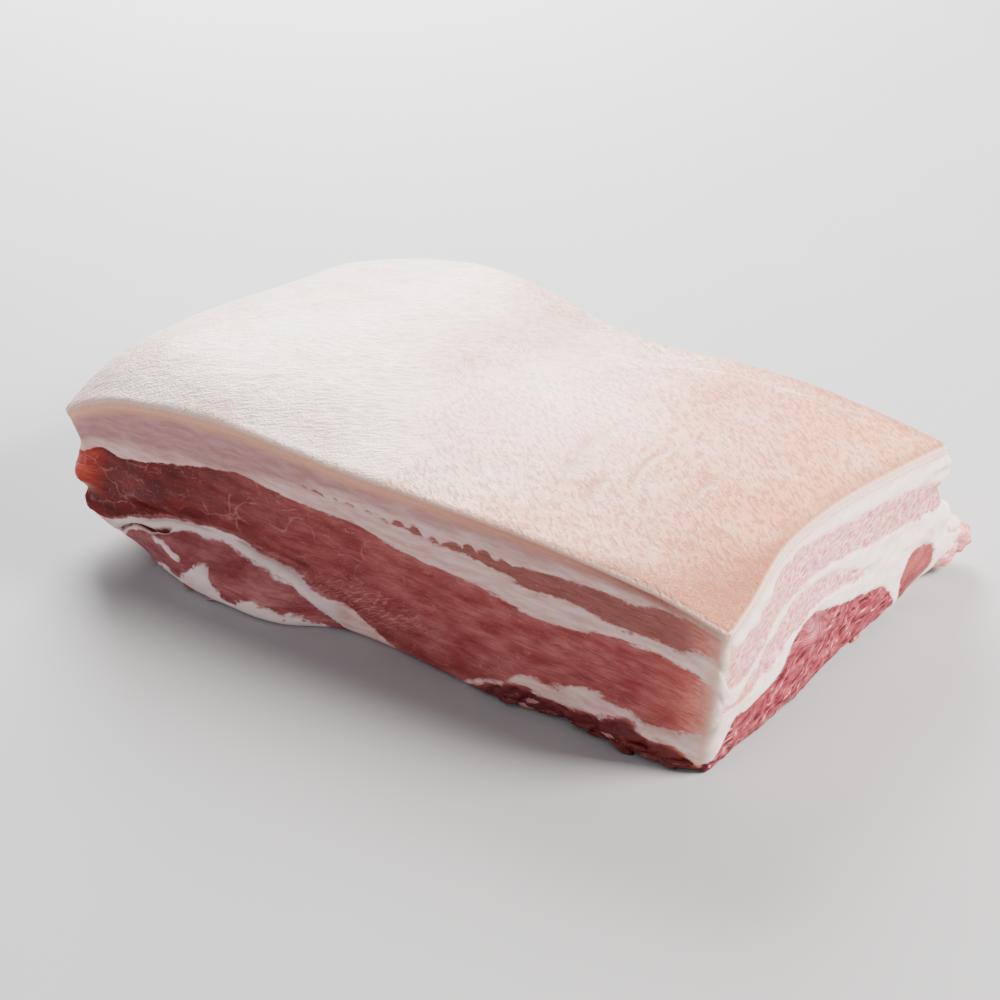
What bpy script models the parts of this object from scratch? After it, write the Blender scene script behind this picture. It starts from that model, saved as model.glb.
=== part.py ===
"""Pork belly slab: one grown-together piece of meat with its rind on top.

The slab lies rind up on its flat underside. X runs along the long cut, with the short
cut end at +X, and -Y is the long cut face. The origin is under the middle of its box.

A box cage is cut into rows, each corner is moved to where the slab's outlines put it,
and a Subdivision Surface rounds the result. Heights and plan outlines are curves in
millimetres, along a fraction of the length, depth or height.
"""

import bmesh
import bpy
import numpy as np

# Driving dimensions, metres
LENGTH = 0.210            # the underside, along the long cut
DEPTH = 0.125             # between the long cuts
MIDDLE = (0.1047, 0.0646)  # the box's middle, from the underside's front left corner
MM = 0.001

# The cage: how many rows of faces each way, and the heights of the rows on the sides
LENGTH_ROWS = 24
DEPTH_ROWS = 14
SIDE_HEIGHTS = (0.0, 0.13, 0.28, 0.42, 0.62, 0.82, 1.0)
RIM_CREASE = 0.75         # how crisp the cut edge of the rind stays
HARD_CREASE = 0.45        # and the foot of the cut faces

# What bulges or hangs, millimetres
FLAP_GROOVE = 3.4         # how far the seam above the flap of meat goes in
FLAP_SWELL = 1.8          # how far the lean above the seam stands out
END_LIFT = 8.5            # how far the left end's underside is off the board
LIFT_REACH = 27.0
NUB_REACH = 17.0          # the loose corner of meat at the back of the short cut
NUB_SHIFT = (3.5, 9.0)
CROWN_FADE = 1.7          # how fast the ends' crown fades along the length
BACK_LEAN = 4.0           # how far the back cut's foot stands out past the rind


def curve(points):
    """A smooth curve through (place, value) points, as a function of the place."""
    places = np.array([point[0] for point in points], dtype=float)
    values = np.array([point[1] for point in points], dtype=float)
    spans = np.diff(places)
    rises = np.diff(values) / spans
    slopes = np.empty_like(values)
    slopes[0] = rises[0]
    slopes[-1] = rises[-1]
    slopes[1:-1] = (rises[:-1] * spans[1:] + rises[1:] * spans[:-1]) / (spans[:-1] + spans[1:])

    def at(place):
        place = np.clip(np.asarray(place, dtype=float), places[0], places[-1])
        index = np.clip(np.searchsorted(places, place) - 1, 0, len(places) - 2)
        step = (place - places[index]) / spans[index]
        start = (2 * step**3 - 3 * step**2 + 1) * values[index]
        start += (step**3 - 2 * step**2 + step) * spans[index] * slopes[index]
        end = (3 * step**2 - 2 * step**3) * values[index + 1]
        end += (step**3 - step**2) * spans[index] * slopes[index + 1]
        return start + end

    return at


def ease(value, low, high):
    """0 below low, 1 above high, and smooth between."""
    step = np.clip((value - low) / (high - low), 0.0, 1.0)
    return step * step * (3 - 2 * step)


# Height of the rind along its four edges, millimetres over a fraction of the edge
FRONT_TOP = curve([(0, 39.2), (0.05, 45.1), (0.1, 48.9), (0.15, 50.8), (0.22, 52.6), (0.28, 53.4),
                   (0.35, 52.9), (0.45, 51.6), (0.6, 51.4), (0.75, 50.6), (0.85, 48.9),
                   (0.92, 47.0), (1, 42.6)])
BACK_TOP = curve([(0, 41.5), (0.1, 48.8), (0.2, 53.6), (0.28, 55.4), (0.38, 52.6), (0.48, 47.4),
                  (0.57, 46.0), (0.7, 47.4), (0.8, 46.8), (0.9, 44.2), (1, 40.5)])
LEFT_TOP = curve([(0, 39.2), (0.1, 45.4), (0.2, 48.6), (0.35, 49.6), (0.5, 48.6), (0.75, 44.9),
                  (1, 41.5)])
RIGHT_TOP = curve([(0, 42.6), (0.12, 44.0), (0.3, 47.0), (0.5, 47.0), (0.75, 44.5), (1, 40.5)])

# Plan outlines, millimetres from the underside's front left corner
LEFT_RIM = curve([(0, -6.8), (0.2, -5.5), (0.6, -4.0), (1, -3.0)])
RIGHT_RIM = curve([(0, 214.4), (0.1, 212.5), (0.3, 208.0), (0.5, 207.5), (0.75, 209.5), (1, 212.0)])
RIGHT_FOOT = curve([(0, 210.0), (0.12, 211.5), (0.3, 212.8), (0.55, 212.0), (0.75, 213.0), (1, 212.5)])
LEFT_WALL = curve([(0, 1.0), (0.1, -2.4), (0.25, -3.2), (0.4, -3.4), (0.6, -0.8), (0.75, -0.6),
                   (0.9, -3.6), (1, -6.0)])
FRONT_FOOT = curve([(0, -0.5), (0.05, -0.8), (0.1, 0.2), (0.14, -2.6), (0.2, -6.4), (0.27, -8.0),
                    (0.37, -7.0), (0.44, 0.6), (0.5, 1.2), (0.6, -0.6), (0.7, -2.6), (0.8, -0.8),
                    (0.9, -3.6), (1, -0.4)])


def rind_height(along, back):
    """Height of the rind: between the two long edges, crowned towards the two ends."""
    between = (1 - back) * FRONT_TOP(along) + back * BACK_TOP(along)
    left_crown = LEFT_TOP(back) - (1 - back) * LEFT_TOP(0) - back * LEFT_TOP(1)
    right_crown = RIGHT_TOP(back) - (1 - back) * RIGHT_TOP(0) - back * RIGHT_TOP(1)
    return between + left_crown * (1 - along) ** CROWN_FADE + right_crown * along ** CROWN_FADE


def underside_height(along, back):
    """Height of the underside: flat on the board, but for the lifted left end."""
    lift = 1 - ease(along * LENGTH / MM, 0.0, LIFT_REACH)
    return END_LIFT * lift * (1 - 0.6 * ease(back, 0.1, 0.6))


def length_place(along, back, up):
    """Place along X, between the left and right outlines at this height."""
    to_rim = ease(up, 0.8, 1.0)
    left = (1 - to_rim) * LEFT_WALL(up) + to_rim * LEFT_RIM(back)
    right = (1 - up) * RIGHT_FOOT(back) + up * RIGHT_RIM(back)
    return left + (right - left) * along


def front_place(along, up):
    """Place of the long cut face: a foot that wanders, a seam and a swell over the flap."""
    over_flap = ease(along, 0.06, 0.14) * (1 - ease(along, 0.36, 0.44))
    foot = FRONT_FOOT(along) * (1 - ease(up, 0.12, 0.30))
    groove = FLAP_GROOVE * np.exp(-((up - 0.29) / 0.06) ** 2)
    swell = FLAP_SWELL * np.exp(-((up - 0.5) / 0.14) ** 2)
    return foot + over_flap * (groove - swell)


def place_corner(along, back, up):
    """Where the slab puts a cage corner given by three fractions, in metres."""
    x = length_place(along, back, up)
    front = front_place(along, up)
    rear = DEPTH / MM + BACK_LEAN * (1 - ease(up, 0.1, 0.7))
    y = front + (rear - front) * back
    low = underside_height(along, back)
    z = low + (rind_height(along, back) - low) * up
    corner_x = (1 - along) * LENGTH / MM / NUB_REACH
    corner_y = (1 - back) * DEPTH / MM / NUB_REACH
    nub = np.exp(-corner_x**2 - corner_y**2) * (1 - ease(up, 0.12, 0.5))
    x += NUB_SHIFT[0] * nub
    y += NUB_SHIFT[1] * nub
    return (x * MM - MIDDLE[0], y * MM - MIDDLE[1], z * MM)


def cut_rows(cage, axis, places):
    """Cut the whole cage across an axis at each place."""
    for place in places:
        normal = [0.0, 0.0, 0.0]
        point = [0.0, 0.0, 0.0]
        normal[axis] = 1.0
        point[axis] = place
        everything = cage.verts[:] + cage.edges[:] + cage.faces[:]
        bmesh.ops.bisect_plane(cage, geom=everything, plane_co=point, plane_no=normal, dist=1e-5)


def crease_edges(cage):
    """Keep the rind's rim crisp and the foot of the walls fairly so."""
    creases = cage.edges.layers.float.new("crease_edge")
    for edge in cage.edges:
        if len(edge.link_faces) != 2:
            continue
        first, second = (face.normal for face in edge.link_faces)
        if first.dot(second) > 0.5:
            continue
        if max(first.z, second.z) > 0.5:
            edge[creases] = RIM_CREASE
        else:
            edge[creases] = HARD_CREASE


def make_slab(collection):
    """The slab as a box cage moved to shape, under a Subdivision Surface."""
    cage = bmesh.new()
    bmesh.ops.create_cube(cage, size=1.0)
    bmesh.ops.translate(cage, verts=cage.verts, vec=(0.5, 0.5, 0.5))
    cut_rows(cage, 0, [row / LENGTH_ROWS for row in range(1, LENGTH_ROWS)])
    cut_rows(cage, 1, [row / DEPTH_ROWS for row in range(1, DEPTH_ROWS)])
    cut_rows(cage, 2, SIDE_HEIGHTS[1:-1])
    cage.normal_update()
    crease_edges(cage)
    for corner in cage.verts:
        corner.co = place_corner(*corner.co)
    mesh = bpy.data.meshes.new("pork_belly")
    cage.to_mesh(mesh)
    cage.free()
    slab = bpy.data.objects.new("pork_belly", mesh)
    collection.objects.link(slab)
    smooth = slab.modifiers.new("Rounded", "SUBSURF")
    smooth.levels = 1
    smooth.render_levels = 1
    mesh.shade_smooth()
    mesh.materials.append(make_material("rind", (0.80, 0.62, 0.50), 0.45))
    return slab


def make_material(name, colour, roughness):
    """A plain Principled material."""
    material = bpy.data.materials.new(name)
    material.use_nodes = True
    shader = material.node_tree.nodes["Principled BSDF"]
    shader.inputs["Base Color"].default_value = (*colour, 1.0)
    shader.inputs["Roughness"].default_value = roughness
    shader.inputs["Metallic"].default_value = 0.0
    return material


def main():
    for thing in list(bpy.data.objects):
        bpy.data.objects.remove(thing)
    collection = bpy.data.collections.new("pork_belly_slab")
    bpy.context.scene.collection.children.link(collection)
    make_slab(collection)


main()
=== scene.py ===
"""Looks of the pork belly slab: its rind, the layered flesh under it and the loose bits of meat.

The slab's outlines are the same curves as its solid's, in millimetres from the front left
corner of the underside: X along the long cut, Y away from it, Z up. A place on the slab is
three fractions: along the length, back through the depth, and up through the height. Round
the four cut faces, a turn of 0 to 1 runs along the front, 1 to 2 along the right, 2 to 3
along the back and 3 to 4 along the left. A span is a start, an end and a fade outside both.
"""

import itertools
import math

import bpy
import numpy as np
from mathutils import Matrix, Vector
from mathutils.geometry import delaunay_2d_cdt


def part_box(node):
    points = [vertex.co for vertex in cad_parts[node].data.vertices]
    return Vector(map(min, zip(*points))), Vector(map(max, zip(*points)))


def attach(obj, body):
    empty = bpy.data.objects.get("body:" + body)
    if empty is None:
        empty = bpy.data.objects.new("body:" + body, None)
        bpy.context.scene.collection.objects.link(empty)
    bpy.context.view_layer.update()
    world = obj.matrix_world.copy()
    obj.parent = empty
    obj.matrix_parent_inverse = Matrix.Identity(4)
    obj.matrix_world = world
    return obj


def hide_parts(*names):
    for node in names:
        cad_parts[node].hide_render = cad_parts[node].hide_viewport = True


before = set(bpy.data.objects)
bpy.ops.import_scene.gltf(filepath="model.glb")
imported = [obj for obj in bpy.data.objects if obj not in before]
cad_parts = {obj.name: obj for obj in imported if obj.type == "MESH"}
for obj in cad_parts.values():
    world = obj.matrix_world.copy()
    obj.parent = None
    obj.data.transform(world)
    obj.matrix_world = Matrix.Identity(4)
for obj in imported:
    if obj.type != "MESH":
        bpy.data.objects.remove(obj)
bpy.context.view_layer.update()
cad_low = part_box("pork_belly")[0]

MM = 0.001
LENGTH = 210
DEPTH = 125
RIM_PAST_FOOT = 6.3       # the rind's left edge past the underside's left edge
FLAP_PAST_FOOT = 8      # the flap's front past the underside's front edge
CORNER = (cad_low.x / MM + RIM_PAST_FOOT, cad_low.y / MM + FLAP_PAST_FOOT, 0)


# ---- curves and noise

def curve(points, level=False):
    """A smooth curve through {place: value} points, level at each of them if asked."""
    places = np.array(list(points), dtype=float)
    values = np.array(list(points.values()), dtype=float)
    spans = np.diff(places)
    rises = np.diff(values) / spans
    slopes = np.zeros_like(values)
    if not level:
        slopes[0], slopes[-1] = rises[0], rises[-1]
        slopes[1:-1] = (rises[:-1] * spans[1:] + rises[1:] * spans[:-1]) / (spans[:-1] + spans[1:])

    def at(place):
        place = np.clip(np.asarray(place, dtype=float), places[0], places[-1])
        index = np.clip(np.searchsorted(places, place) - 1, 0, len(places) - 2)
        step = (place - places[index]) / spans[index]
        start = (2 * step**3 - 3 * step**2 + 1) * values[index]
        start += (step**3 - 2 * step**2 + step) * spans[index] * slopes[index]
        end = (3 * step**2 - 2 * step**3) * values[index + 1]
        end += (step**3 - step**2) * spans[index] * slopes[index + 1]
        return start + end

    return at


def graph(points):
    """Eases from each value to the next, never past either."""
    return curve(points, level=True)


def ease(value, low, high):
    """0 below low, 1 above high, and smooth between."""
    step = np.clip((value - low) / (high - low), 0, 1)
    return step * step * (3 - 2 * step)


def window(value, start, end, fade):
    """1 between start and end, with a smooth fade outside each."""
    return ease(value, start - fade, start) * (1 - ease(value, end, end + fade))


def bell(*gaps):
    """1 where every gap is 0, and nearly 0 where one of them is over 2."""
    return np.exp(-sum(gap ** 2 for gap in gaps))


def turned(across, rise, way):
    """Distances along a way, given as its cosine and sine, and to the side of it."""
    return across * way[0] + rise * way[1], rise * way[0] - across * way[1]


def compass(degrees):
    """The cosine and sine of a way."""
    return math.cos(math.radians(degrees)), math.sin(math.radians(degrees))


DICE = np.random.default_rng(11)
LATTICE = 256
SHUFFLE = DICE.permutation(LATTICE)
PULLS = DICE.normal(size=(LATTICE, 3))
PULLS /= np.linalg.norm(PULLS, axis=1, keepdims=True)
SEED_APART = 31.7         # in cells
NOISE_HEIGHT = 1.5


def noise(points, cell, seed=0):
    """Smooth random bumps about a cell across, from -1 to 1. cell is a number or three."""
    spot = points / np.asarray(cell, dtype=float) + SEED_APART * seed
    base = np.floor(spot).astype(int)
    part = spot - base
    soft = part**3 * (part * (part * 6 - 15) + 10)
    total = np.zeros(points.shape[:-1])
    for corner in itertools.product((0, 1), repeat=3):
        lattice = base + np.array(corner)
        index = SHUFFLE[lattice[..., 0] % LATTICE]
        index = SHUFFLE[(index + lattice[..., 1]) % LATTICE]
        index = SHUFFLE[(index + lattice[..., 2]) % LATTICE]
        value = ((part - np.array(corner)) * PULLS[index]).sum(-1)
        weight = np.where(np.array(corner) == 1, soft, 1 - soft).prod(-1)
        total += weight * value
    return NOISE_HEIGHT * total


def rough(points, cell, octaves, seed):
    """Noise with finer noise on top."""
    cell = np.asarray(cell, dtype=float)
    return sum(noise(points, cell / 2**octave, seed + octave) / 2**octave
               for octave in range(octaves))


# ---- the slab's outlines

FRONT_TOP = curve({
    0: 39.2, 0.05: 45.1, 0.1: 48.9, 0.15: 50.8, 0.22: 52.6, 0.28: 53.4, 0.35: 52.9, 0.45: 51.6,
    0.6: 51.4, 0.75: 50.6, 0.85: 48.9, 0.92: 47, 1: 42.6})
BACK_TOP = curve({
    0: 41.5, 0.1: 48.8, 0.2: 53.6, 0.28: 55.4, 0.38: 52.6, 0.48: 47.4, 0.57: 46, 0.7: 47.4,
    0.8: 46.8, 0.9: 44.2, 1: 40.5})
LEFT_TOP = curve({0: 39.2, 0.1: 45.4, 0.2: 48.6, 0.35: 49.6, 0.5: 48.6, 0.75: 44.9, 1: 41.5})
RIGHT_TOP = curve({0: 42.6, 0.12: 44, 0.3: 47, 0.5: 47, 0.75: 44.5, 1: 40.5})
LEFT_RIM = curve({0: -6.8, 0.2: -5.5, 0.6: -4, 1: -3})
RIGHT_RIM = curve({0: 214.4, 0.1: 212.5, 0.3: 208, 0.5: 207.5, 0.75: 209.5, 1: 212})
RIGHT_FOOT = curve({0: 210, 0.12: 211.5, 0.3: 212.8, 0.55: 212, 0.75: 213, 1: 212.5})
LEFT_WALL = curve({0: 1, 0.1: -2.4, 0.25: -3.2, 0.4: -3.4, 0.6: -0.8, 0.75: -0.6, 0.9: -3.6, 1: -6})
FRONT_FOOT = curve({
    0: -0.5, 0.05: -0.8, 0.1: 0.2, 0.14: -2.6, 0.2: -6.4, 0.27: -8, 0.37: -7, 0.44: 0.6, 0.5: 1.2,
    0.6: -0.6, 0.7: -2.6, 0.8: -0.8, 0.9: -3.6, 1: -0.4})
CROWN_FADE = 1.7
# The underside's lifted left end, and how the lift eases towards the back
END_LIFT = 8.5
LIFT_REACH = 27
LIFT_EASED = 0.6
LIFT_EASES = (0.1, 0.6)
# The flap: its start and end along the front, and its foot, seam and swell upwards
FLAP_STARTS = (0.06, 0.14)
FLAP_ENDS = (0.36, 0.44)
FOOT_FADES = (0.12, 0.30)
FLAP_GROOVE = 3.4
GROOVE_UP, GROOVE_HALF = 0.29, 0.06
FLAP_SWELL = 1.8
SWELL_UP, SWELL_HALF = 0.5, 0.14
# Where the walls meet the rind's edge, and the back wall's lean
MEETS_RIM = (0.8, 1)
BACK_LEAN = 4
LEAN_FADES = (0.1, 0.7)
# The nub at the back right corner
NUB_REACH = 17
NUB_SHIFT = (3.5, 9)
NUB_FADES = (0.12, 0.5)
CORNER_RADIUS = 3


def rind_height(along, back):
    """Height of the rind: between the two long edges, crowned towards the two ends."""
    between = (1 - back) * FRONT_TOP(along) + back * BACK_TOP(along)
    left_crown = LEFT_TOP(back) - (1 - back) * LEFT_TOP(0) - back * LEFT_TOP(1)
    right_crown = RIGHT_TOP(back) - (1 - back) * RIGHT_TOP(0) - back * RIGHT_TOP(1)
    return between + left_crown * (1 - along) ** CROWN_FADE + right_crown * along ** CROWN_FADE


def underside_height(along, back):
    """Height of the underside: flat on the board, but for the lifted left end."""
    lift = 1 - ease(along * LENGTH, 0, LIFT_REACH)
    return END_LIFT * lift * (1 - LIFT_EASED * ease(back, *LIFT_EASES))


def front_place(along, up):
    """Place of the long cut face: a foot that wanders, a seam and a swell over the flap."""
    over_flap = ease(along, *FLAP_STARTS) * (1 - ease(along, *FLAP_ENDS))
    foot = FRONT_FOOT(along) * (1 - ease(up, *FOOT_FADES))
    groove = FLAP_GROOVE * bell((up - GROOVE_UP) / GROOVE_HALF)
    swell = FLAP_SWELL * bell((up - SWELL_UP) / SWELL_HALF)
    return foot + over_flap * (groove - swell)


def place(along, back, up):
    """Points of the slab at the given fractions, in millimetres."""
    to_rim = ease(up, *MEETS_RIM)
    left = (1 - to_rim) * LEFT_WALL(up) + to_rim * LEFT_RIM(back)
    right = (1 - up) * RIGHT_FOOT(back) + up * RIGHT_RIM(back)
    x = left + (right - left) * along
    front = front_place(along, up)
    rear = DEPTH + BACK_LEAN * (1 - ease(up, *LEAN_FADES))
    y = front + (rear - front) * back
    low = underside_height(along, back)
    z = low + (rind_height(along, back) - low) * up
    to_corner = (1 - along) * LENGTH / NUB_REACH, (1 - back) * DEPTH / NUB_REACH
    nub = bell(*to_corner) * (1 - ease(up, *NUB_FADES))
    return np.stack([x + NUB_SHIFT[0] * nub, y + NUB_SHIFT[1] * nub, z], -1)


def fractions(across, deep):
    """Fractions along and back for places on the plan rectangle, its corners rounded."""
    side, end = (np.maximum(CORNER_RADIUS - np.minimum(spot, size - spot), 0) / CORNER_RADIUS
                 for spot, size in ((across, LENGTH), (deep, DEPTH)))
    pull_x = side * (1 - np.sqrt(1 - end**2 / 2)) * CORNER_RADIUS
    pull_y = end * (1 - np.sqrt(1 - side**2 / 2)) * CORNER_RADIUS
    across = across + np.where(across < LENGTH / 2, pull_x, -pull_x)
    deep = deep + np.where(deep < DEPTH / 2, pull_y, -pull_y)
    return across / LENGTH, deep / DEPTH


# ---- the layers in the cut faces

# Heights of the layers' edges, as fractions of the slab's height, over turns round the slab
UPPER_TOP = curve({
    0: 0.84, 0.3: 0.82, 0.42: 0.815, 0.485: 0.817, 0.52: 0.807, 0.555: 0.822, 0.6: 0.796,
    0.64: 0.826, 0.71: 0.806, 0.77: 0.83, 0.8: 0.853, 0.87: 0.873, 0.9: 0.9, 0.94: 0.943,
    0.985: 0.98, 1.02: 0.87, 1.1: 0.82, 1.2: 0.84, 1.33: 0.91, 1.45: 0.875, 1.56: 0.84,
    1.73: 0.825, 1.85: 0.79, 2: 0.74, 2.15: 0.78, 2.3: 0.84, 2.45: 0.8, 2.6: 0.83, 2.8: 0.8,
    3: 0.82, 3.3: 0.8, 3.6: 0.83, 4: 0.84})
UPPER_FOOT = curve({
    0: 0.85, 0.3: 0.83, 0.42: 0.813, 0.47: 0.809, 0.506: 0.789, 0.6: 0.766, 0.66: 0.742,
    0.69: 0.722, 0.735: 0.69, 0.77: 0.712, 0.86: 0.686, 0.9: 0.69, 0.94: 0.716, 0.985: 0.775,
    1.02: 0.6, 1.08: 0.505, 1.15: 0.545, 1.23: 0.63, 1.33: 0.665, 1.45: 0.669, 1.56: 0.637,
    1.66: 0.595, 1.76: 0.596, 1.85: 0.566, 2: 0.55, 2.15: 0.63, 2.3: 0.7, 2.45: 0.73, 2.6: 0.8,
    2.68: 0.82, 2.8: 0.82, 3: 0.83, 4: 0.85})
MAIN_TOP = curve({
    0: 0.63, 0.04: 0.665, 0.075: 0.62, 0.11: 0.648, 0.2: 0.693, 0.27: 0.727, 0.36: 0.704,
    0.47: 0.695, 0.54: 0.648, 0.6: 0.62, 0.68: 0.596, 0.75: 0.545, 0.79: 0.562, 0.83: 0.6,
    0.92: 0.638, 0.985: 0.61, 1.02: 0.47, 1.09: 0.449, 1.14: 0.506, 1.225: 0.584, 1.32: 0.63,
    1.44: 0.629, 1.53: 0.574, 1.61: 0.489, 1.66: 0.45, 1.8: 0.4, 1.95: 0.38, 2.1: 0.5, 2.25: 0.6,
    2.4: 0.59, 2.55: 0.66, 2.7: 0.69, 2.85: 0.66, 3: 0.62, 3.2: 0.64, 3.45: 0.68, 3.7: 0.66,
    4: 0.63})
MAIN_FOOT = curve({
    0: 0.02, 0.03: 0.05, 0.057: 0.1, 0.092: 0.203, 0.13: 0.258, 0.17: 0.283, 0.215: 0.3,
    0.26: 0.313, 0.32: 0.27, 0.4: 0.236, 0.43: 0.19, 0.465: 0.165, 0.5: 0.085, 0.53: 0.02,
    0.56: -0.05, 0.62: -0.04, 0.65: 0.03, 0.68: 0.09, 0.713: 0.13, 0.735: 0.183, 0.78: 0.188,
    0.82: 0.245, 0.87: 0.228, 0.95: 0.22, 0.985: 0.26, 1.02: 0.4, 1.08: 0.38, 1.15: 0.388,
    1.27: 0.43, 1.37: 0.461, 1.44: 0.5, 1.53: 0.466, 1.61: 0.43, 1.66: 0.46, 1.8: 0.42, 1.95: 0.4,
    2.1: 0.32, 2.2: 0.24, 2.4: 0.18, 2.55: 0.26, 2.7: 0.3, 2.85: 0.24, 3: 0.2, 3.3: 0.14,
    3.7: 0.08, 4: 0.02})
LOWER_TOP = curve({
    0: -0.1, 0.06: -0.02, 0.09: 0.12, 0.14: 0.205, 0.19: 0.255, 0.25: 0.256, 0.33: 0.236,
    0.373: 0.218, 0.4: 0.185, 0.434: 0.063, 0.47: -0.03, 0.6: -0.06, 0.64: -0.01, 0.67: 0.05,
    0.7: 0.105, 0.74: 0.138, 0.79: 0.1, 0.85: 0.15, 0.89: 0.195, 0.925: 0.145, 0.945: 0.15,
    0.967: 0.11, 0.985: 0.068, 1.01: 0.1, 1.03: 0.16, 1.06: 0.255, 1.155: 0.276, 1.244: 0.303,
    1.283: 0.345, 1.33: 0.42, 1.38: 0.455, 1.42: 0.46, 1.47: 0.41, 1.576: 0.318, 1.66: 0.288,
    1.71: 0.228, 1.745: 0.06, 1.765: -0.04, 1.88: -0.06, 1.95: -0.05, 2.03: 0.02, 2.1: 0.2,
    2.3: 0.1, 2.5: 0.16, 2.7: 0.2, 2.9: 0.12, 3.1: 0.08, 3.4: 0.06, 3.8: -0.05, 4: -0.1})


# ---- meshes

class Shape:
    """Vertices and faces gathered piece by piece, in millimetres."""

    def __init__(self):
        self.points = []
        self.faces = []
        self.fields = {}
        self.count = 0

    def add(self, points, **fields):
        """Adds a block of points with its fields, and gives the block's indices."""
        shape = points.shape[:-1]
        size = int(np.prod(shape))
        self.points.append(points.reshape(-1, 3))
        for name in sorted(set(self.fields) | set(fields)):
            rows = self.fields.setdefault(name, [np.zeros(self.count)])
            rows.append(np.broadcast_to(fields.get(name, 0), shape).reshape(-1))
        block = np.arange(self.count, self.count + size).reshape(shape)
        self.count += size
        return block

    def quads(self, block, closed):
        """Joins a block of rows and columns with quads, closing the columns if asked."""
        if closed:
            block = np.concatenate([block, block[:, :1]], axis=1)
        corners = block[:-1, :-1], block[:-1, 1:], block[1:, 1:], block[1:, :-1]
        self.faces.append(np.stack(corners, -1).reshape(-1, 4))

    def to_object(self, name, material):
        """Makes the object, with its fields as float attributes."""
        mesh = bpy.data.meshes.new(name)
        points = (np.concatenate(self.points) + np.array(CORNER)) * MM
        faces = [face for block in self.faces for face in block.tolist()]
        mesh.from_pydata(points.tolist(), [], faces)
        for field, rows in self.fields.items():
            layer = mesh.attributes.new(field, "FLOAT", "POINT")
            layer.data.foreach_set("value", np.concatenate(rows).astype(np.float32))
        mesh.shade_smooth()
        mesh.materials.append(material)
        thing = bpy.data.objects.new(name, mesh)
        bpy.context.scene.collection.objects.link(thing)
        return thing


JITTER = 0.25             # in the grid's spacings
JITTER_CELL = 3.1
CLEAR_EVERY = 4           # the grid keeps clear of each fourth point of a loop
MERGE_WITHIN = 1e-7


def fill_loop(shape, loop, loop_points, spacing, margin, height, below, upward, **fields):
    """Closes a loop of vertices with triangles over a loose grid, set below a height."""
    outline = loop_points[:, :2]
    low = outline.min(0)
    high = outline.max(0)
    across = np.arange(low[0] + spacing / 2, high[0], spacing)
    deep = np.arange(low[1] + spacing / 2, high[1], spacing)
    grid = np.stack(np.meshgrid(across, deep), -1).reshape(-1, 2)
    stray = [noise(np.c_[grid, np.full(len(grid), seed)], JITTER_CELL, seed) for seed in (1, 2)]
    grid = grid + JITTER * spacing * np.stack(stray, -1)
    gaps = np.abs(grid[:, None, :] - outline[None, ::CLEAR_EVERY, :]).max(-1).min(-1)
    inside = np.zeros(len(grid), bool)
    for start, end in zip(outline, np.roll(outline, -1, axis=0)):
        crosses = (start[1] > grid[:, 1]) != (end[1] > grid[:, 1])
        if crosses.any():
            slope = (end[0] - start[0]) * (grid[:, 1] - start[1]) / (end[1] - start[1])
            inside ^= crosses & (grid[:, 0] < slope + start[0])
    grid = grid[(gaps > margin) & inside]
    tops = height(grid[:, 0] / LENGTH, grid[:, 1] / DEPTH) - below
    block = shape.add(np.c_[grid, tops], **fields)
    flat = [Vector(point) for point in np.concatenate([outline, grid]).tolist()]
    names = np.concatenate([loop, block])
    result = delaunay_2d_cdt(flat, [], [list(range(len(outline)))], 1, MERGE_WITHIN)
    source = [names[origin[0]] for origin in result[3]]
    triangles = []
    for face in result[2]:
        corners = [source[corner] for corner in face]
        a, b, c = (result[0][corner] for corner in face)
        turning = (b.x - a.x) * (c.y - a.y) - (b.y - a.y) * (c.x - a.x)
        if (turning > 0) != upward:
            corners.reverse()
        triangles.append(corners)
    shape.faces.append(np.array(triangles))


def surface_normals(points, closed):
    """Unit normals of a block of points, rows by columns."""
    if closed:
        across = np.roll(points, -1, axis=1) - np.roll(points, 1, axis=1)
    else:
        across = np.gradient(points, axis=1)
    normal = np.cross(across, np.gradient(points, axis=0))
    return normal / np.maximum(np.linalg.norm(normal, axis=-1, keepdims=True), 1e-9)


# ---- rings round the slab

def ring_steps(*steps):
    """Places round the plan as fractions of its length and depth, and turns, at given steps."""
    counts = [round(size / step) for size, step in zip((LENGTH, DEPTH) * 2, steps)]
    turns = np.concatenate([side + np.arange(count) / count for side, count in enumerate(counts)])
    side = np.floor(turns)
    part = turns - side
    sides = [side == number for number in range(4)]
    along = np.select(sides, [part, 1, 1 - part, 0])
    back = np.select(sides, [0, part, 1, 1 - part])
    return along, back, turns


def ring_points(along, back, inset, up_mm=None, up=None):
    """Points of a ring set in from the plan's edge, at a height in millimetres or a fraction."""
    across = inset + (LENGTH - 2 * inset) * along
    deep = inset + (DEPTH - 2 * inset) * back
    part_x, part_y = fractions(across, deep)
    tall = rind_height(part_x, part_y) - underside_height(part_x, part_y)
    if up is None:
        up = up_mm / tall
    return place(part_x, part_y, up), np.broadcast_to(up, tall.shape), tall


# ---- the flesh

UNDER_RIND = 2.6          # how far the flesh's top lies below the rind's
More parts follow.
